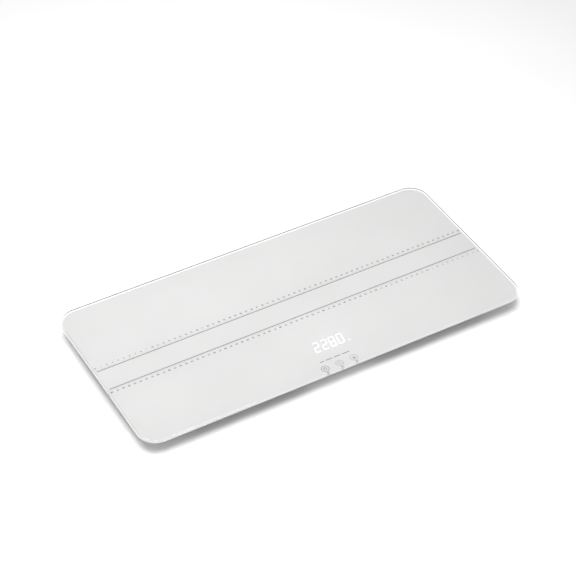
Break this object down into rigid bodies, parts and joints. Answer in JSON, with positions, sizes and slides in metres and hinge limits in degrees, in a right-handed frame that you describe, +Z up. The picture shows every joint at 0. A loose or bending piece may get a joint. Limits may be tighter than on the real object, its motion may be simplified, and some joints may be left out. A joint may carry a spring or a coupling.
{
  "type": "animal weighing scale",
  "caption": "Flat pet scale: a long white glass platform with length rulers, a lit digital display and touch keys, standing on load cell feet with a battery box underneath.",
  "frame": {"origin": "on the floor under the middle of the platform", "axes": "+X along the platform, to the right when facing the keys; +Y to the rear, away from the keys; +Z up"},
  "size_m": [0.693, 0.333, 0.028],
  "materials": {
    "clear_glass": "tempered clear float glass, ground and polished edge",
    "white_film": "white film, satin",
    "white_abs": "moulded ABS, fine spark texture",
    "cell_steel": "stamped steel, zinc plated",
    "pad_rubber": "matt elastomer",
    "foam_tape": "closed-cell foam tape",
    "screw_steel": "zinc plated",
    "silicone": "soft white silicone",
    "gauge_foil": "foil on polyimide",
    "lead_jacket": "grey flexible jacket",
    "circuit_board": "green solder mask",
    "connector_nylon": "natural nylon",
    "chip_resin": "black moulding resin",
    "spring_steel": "drawn wire",
    "contact_nickel": "nickel plated spring steel",
    "display_case": "white reflector plastic",
    "lit_segment": "translucent white, lit from below",
    "led_chip": "phosphor over the chip",
    "battery_wrap": "printed sleeve, plain",
    "battery_lead_jacket": "flexible jacket"
  },
  "bodies": {
    "platform": {"backing_film": "white_film", "battery_1": "battery_wrap", "battery_2": "battery_wrap", "battery_3": "battery_wrap", "battery_4": "battery_wrap", "battery_contact_plates": "contact_nickel", "battery_contact_springs": "contact_nickel", "battery_leads": "battery_lead_jacket", "board_screws": "screw_steel", "control_board": "circuit_board", "display_block": "display_case", "display_leds": "led_chip", "display_segments": "lit_segment", "electronics_housing": "white_abs", "electronics_housing_tape": "foam_tape", "foot_housing_front_left": "white_abs", "foot_housing_front_right": "white_abs", "foot_housing_rear_left": "white_abs", "foot_housing_rear_right": "white_abs", "foot_housing_tape": "foam_tape", "foot_retaining_rings": "white_abs", "gauge_potting": "silicone", "glass_platform": "clear_glass", "lead_connectors": "connector_nylon", "load_cell_front_left": "cell_steel", "load_cell_front_right": "cell_steel", "load_cell_lead_front_left": "lead_jacket", "load_cell_lead_front_right": "lead_jacket", "load_cell_lead_rear_left": "lead_jacket", "load_cell_lead_rear_right": "lead_jacket", "load_cell_rear_left": "cell_steel", "load_cell_rear_right": "cell_steel", "load_cell_screws": "screw_steel", "microcontroller": "chip_resin", "strain_gauges": "gauge_foil", "touch_springs": "spring_steel", "wire_channel_front_left": "white_abs", "wire_channel_front_right": "white_abs", "wire_channel_rear_left": "white_abs", "wire_channel_rear_right": "white_abs"},
    "foot_front_left": {"foot_cup_front_left": "white_abs", "foot_pad_front_left": "pad_rubber"},
    "foot_front_right": {"foot_cup_front_right": "white_abs", "foot_pad_front_right": "pad_rubber"},
    "foot_rear_left": {"foot_cup_rear_left": "white_abs", "foot_pad_rear_left": "pad_rubber"},
    "foot_rear_right": {"foot_cup_rear_right": "white_abs", "foot_pad_rear_right": "pad_rubber"},
    "battery_door": {"battery_door": "white_abs"}
  },
  "joints": [
    {"name": "foot_front_left_press", "type": "slide", "parent": "platform", "child": "foot_front_left", "axis": [0, 0, 1], "range_m": [0, 0.0008], "stiffness_N_per_m": 50000, "deforming": ["load_cell_front_left"]},
    {"name": "foot_front_right_press", "type": "slide", "parent": "platform", "child": "foot_front_right", "axis": [0, 0, 1], "range_m": [0, 0.0008], "stiffness_N_per_m": 50000, "deforming": ["load_cell_front_right"]},
    {"name": "foot_rear_left_press", "type": "slide", "parent": "platform", "child": "foot_rear_left", "axis": [0, 0, 1], "range_m": [0, 0.0008], "stiffness_N_per_m": 50000, "deforming": ["load_cell_rear_left"]},
    {"name": "foot_rear_right_press", "type": "slide", "parent": "platform", "child": "foot_rear_right", "axis": [0, 0, 1], "range_m": [0, 0.0008], "stiffness_N_per_m": 50000, "deforming": ["load_cell_rear_right"]},
    {"name": "battery_door_slide", "type": "slide", "parent": "platform", "child": "battery_door", "axis": [0, 1, 0], "range_m": [0, 0.036]}
  ]
}
